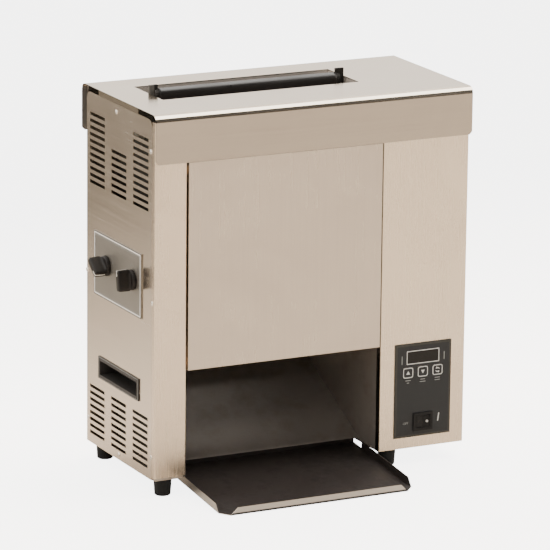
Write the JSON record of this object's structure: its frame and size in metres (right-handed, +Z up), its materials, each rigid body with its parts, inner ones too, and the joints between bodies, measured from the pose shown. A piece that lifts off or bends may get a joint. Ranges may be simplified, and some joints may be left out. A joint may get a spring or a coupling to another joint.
{
  "type": "vertical contact toaster",
  "caption": "Upright stainless toaster with a top feed slot, a heated platen between two tilting conveyors, side knobs, control panel, sloping chute and tray.",
  "frame": {"origin": "centre of the bounding box in plan, on the surface that the feet stand on", "axes": "+Z up, +X to the right seen from the front, where the controls are, +Y to the rear, so the front with its discharge tray faces -Y"},
  "size_m": [0.5378, 0.3772, 0.577],
  "materials": {
    "stainless": "brushed",
    "plated_steel": "satin",
    "dark_steel": "satin",
    "cast_aluminium": "cast",
    "release_black": "matte release cloth",
    "coated_brown": "non-stick coating",
    "black_plastic": "satin",
    "black_rubber": "matte",
    "overlay_grey": "matte film",
    "belt_grey": "matte",
    "bronze": "sintered",
    "board_green": "coated",
    "smoked_lens": "gloss",
    "ceramic": "glazed"
  },
  "bodies": {
    "housing": {"base_pan": "stainless", "front_left_foot": "black_rubber", "front_right_foot": "black_rubber", "rear_left_foot": "black_rubber", "rear_right_foot": "black_rubber", "left_side_panel": "stainless", "right_side_panel": "stainless", "back_panel": "stainless", "left_front_column": "stainless", "control_housing_front": "stainless", "left_bulkhead": "plated_steel", "right_bulkhead": "plated_steel", "front_cross_rail": "plated_steel", "left_hand_hold": "black_plastic", "right_hand_hold": "black_plastic", "adjustment_plate": "plated_steel", "platen": "cast_aluminium", "lower_heater": "dark_steel", "upper_heater": "dark_steel", "release_sheet": "release_black", "front_left_bearing": "bronze", "front_right_bearing": "bronze", "rear_left_bearing": "bronze", "rear_right_bearing": "bronze", "drive_chain": "dark_steel", "motor_bracket": "plated_steel", "gearmotor": "dark_steel", "discharge_chute": "stainless", "control_overlay": "overlay_grey", "display_lens": "smoked_lens", "switch_bezel": "black_plastic", "control_board": "board_green", "fan_housing": "black_plastic", "cord_inlet": "black_plastic", "limit_thermostat": "ceramic"},
    "top_cover": {"top_cover": "stainless"},
    "front_panel": {"front_panel": "stainless"},
    "discharge_tray": {"discharge_tray": "coated_brown"},
    "front_adjuster": {"front_adjustment_knob": "black_plastic", "front_adjustment_cam": "plated_steel"},
    "rear_adjuster": {"rear_adjustment_knob": "black_plastic", "rear_adjustment_cam": "plated_steel"},
    "front_conveyor": {"front_conveyor_frame": "plated_steel", "front_conveyor_belt": "belt_grey"},
    "rear_conveyor": {"rear_conveyor_frame": "plated_steel", "rear_conveyor_belt": "belt_grey"},
    "front_idler": {"front_idler_roller": "plated_steel"},
    "rear_idler": {"rear_idler_roller": "plated_steel"},
    "front_drive": {"front_drive_shaft": "plated_steel", "front_drive_sprocket": "dark_steel"},
    "rear_drive": {"rear_drive_shaft": "plated_steel", "rear_drive_sprocket": "dark_steel"},
    "chain_idler": {"chain_idler_sprocket": "dark_steel"},
    "motor_drive": {"motor_sprocket": "dark_steel", "motor_output_shaft": "plated_steel"},
    "raise_key": {"raise_key": "overlay_grey"},
    "lower_key": {"lower_key": "overlay_grey"},
    "mode_key": {"mode_key": "overlay_grey"},
    "switch_paddle": {"switch_paddle": "black_plastic"},
    "fan_rotor": {"fan_rotor": "black_plastic"}
  },
  "joints": [
    {"name": "top_cover_lift", "type": "slide", "parent": "housing", "child": "top_cover", "axis": [0, 0, 1], "range_m": [0, 0.12]},
    {"name": "front_panel_pull", "type": "slide", "parent": "housing", "child": "front_panel", "axis": [0, -1, 0], "range_m": [0, 0.1]},
    {"name": "tray_pull", "type": "slide", "parent": "housing", "child": "discharge_tray", "axis": [0, -1, 0], "range_m": [0, 0.12]},
    {"name": "front_knob_turn", "type": "hinge", "parent": "housing", "child": "front_adjuster", "pos_m": [-0.22805, 0.00455, 0.31], "axis": [1, 0, 0], "range_deg": [-60, 60]},
    {"name": "rear_knob_turn", "type": "hinge", "parent": "housing", "child": "rear_adjuster", "pos_m": [-0.22805, 0.09455, 0.31], "axis": [1, 0, 0], "range_deg": [-60, 60]},
    {"name": "front_conveyor_tilt", "type": "hinge", "parent": "housing", "child": "front_conveyor", "pos_m": [-0.02755, 0.01205, 0.215], "axis": [1, 0, 0], "range_deg": [-1, 1]},
    {"name": "rear_conveyor_tilt", "type": "hinge", "parent": "housing", "child": "rear_conveyor", "pos_m": [-0.02755, 0.14305, 0.215], "axis": [1, 0, 0], "range_deg": [-1, 1]},
    {"name": "motor_turn", "type": "hinge", "parent": "housing", "child": "motor_drive", "pos_m": [0.14345, 0.03555, 0.287], "axis": [1, 0, 0], "continuous": true},
    {"name": "front_drive_turn", "type": "hinge", "parent": "housing", "child": "front_drive", "pos_m": [-0.02755, 0.01205, 0.215], "axis": [1, 0, 0], "continuous": true},
    {"name": "rear_drive_turn", "type": "hinge", "parent": "housing", "child": "rear_drive", "pos_m": [-0.02755, 0.14305, 0.215], "axis": [1, 0, 0], "continuous": true},
    {"name": "chain_idler_turn", "type": "hinge", "parent": "housing", "child": "chain_idler", "pos_m": [0.14345, 0.02255, 0.153], "axis": [1, 0, 0], "continuous": true},
    {"name": "front_idler_turn", "type": "hinge", "parent": "front_conveyor", "child": "front_idler", "pos_m": [-0.02755, 0.01205, 0.525], "axis": [1, 0, 0], "continuous": true},
    {"name": "rear_idler_turn", "type": "hinge", "parent": "rear_conveyor", "child": "rear_idler", "pos_m": [-0.02755, 0.14305, 0.525], "axis": [1, 0, 0], "continuous": true},
    {"name": "raise_key_press", "type": "slide", "parent": "housing", "child": "raise_key", "axis": [0, 1, 0], "range_m": [0, 0.0006], "stiffness_N_per_m": 400},
    {"name": "lower_key_press", "type": "slide", "parent": "housing", "child": "lower_key", "axis": [0, 1, 0], "range_m": [0, 0.0006], "stiffness_N_per_m": 400},
    {"name": "mode_key_press", "type": "slide", "parent": "housing", "child": "mode_key", "axis": [0, 1, 0], "range_m": [0, 0.0006], "stiffness_N_per_m": 400},
    {"name": "switch_rock", "type": "hinge", "parent": "housing", "child": "switch_paddle", "pos_m": [0.19595, -0.0668, 0.0644], "axis": [0, 0, 1], "range_deg": [0, 16]},
    {"name": "fan_turn", "type": "hinge", "parent": "housing", "child": "fan_rotor", "pos_m": [0.19795, 0.1561, 0.113], "axis": [0, 1, 0], "continuous": true}
  ],
  "couplings": [
    {"joint": "front_knob_turn", "follows": "front_conveyor_tilt", "ratio": 60},
    {"joint": "rear_knob_turn", "follows": "rear_conveyor_tilt", "ratio": -60},
    {"joint": "motor_turn", "follows": "front_drive_turn", "ratio": -1.5},
    {"joint": "rear_drive_turn", "follows": "front_drive_turn", "ratio": -1},
    {"joint": "chain_idler_turn", "follows": "front_drive_turn", "ratio": -1.5},
    {"joint": "front_idler_turn", "follows": "front_drive_turn", "ratio": 1},
    {"joint": "rear_idler_turn", "follows": "front_drive_turn", "ratio": -1}
  ]
}
